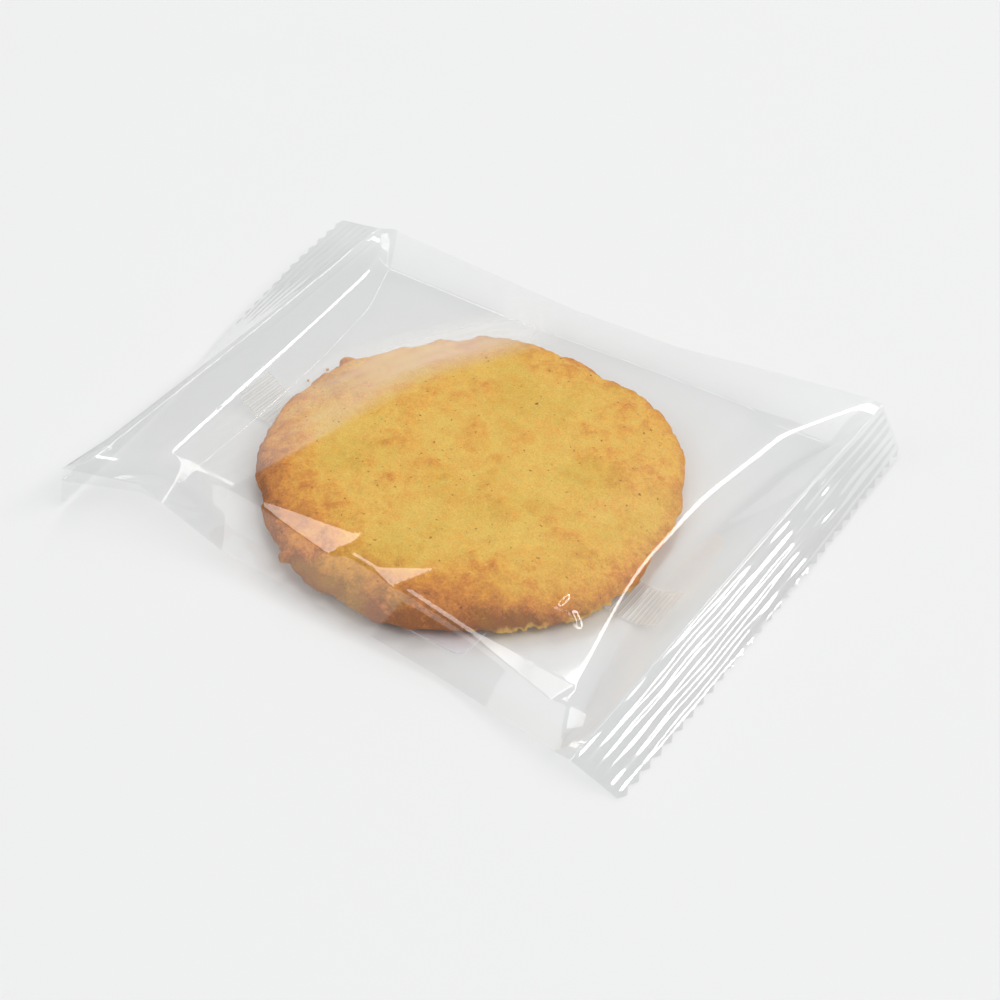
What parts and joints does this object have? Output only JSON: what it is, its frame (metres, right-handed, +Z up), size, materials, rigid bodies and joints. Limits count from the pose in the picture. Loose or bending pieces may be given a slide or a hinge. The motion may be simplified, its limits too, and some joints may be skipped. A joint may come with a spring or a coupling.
{
  "type": "cookie in clear flow pack",
  "caption": "Clear sealed flow pack lying flat, with crimped zigzag-cut end seals, a fin seal underneath and a large round oatmeal cookie inside.",
  "frame": {"origin": "middle of the pack's footprint on the surface it lies on", "axes": "+X along the pack from seal to seal, +Y across it, +Z up from the surface it lies on"},
  "size_m": [0.1514, 0.1178, 0.0129],
  "materials": {
    "clear_film": "clear glossy film",
    "label_paper": "smooth white label paper",
    "baked_cookie": "dry baked crumb"
  },
  "bodies": {
    "root": {"flow_pack": "clear_film", "label": "label_paper"}
  },
  "joints": []
}
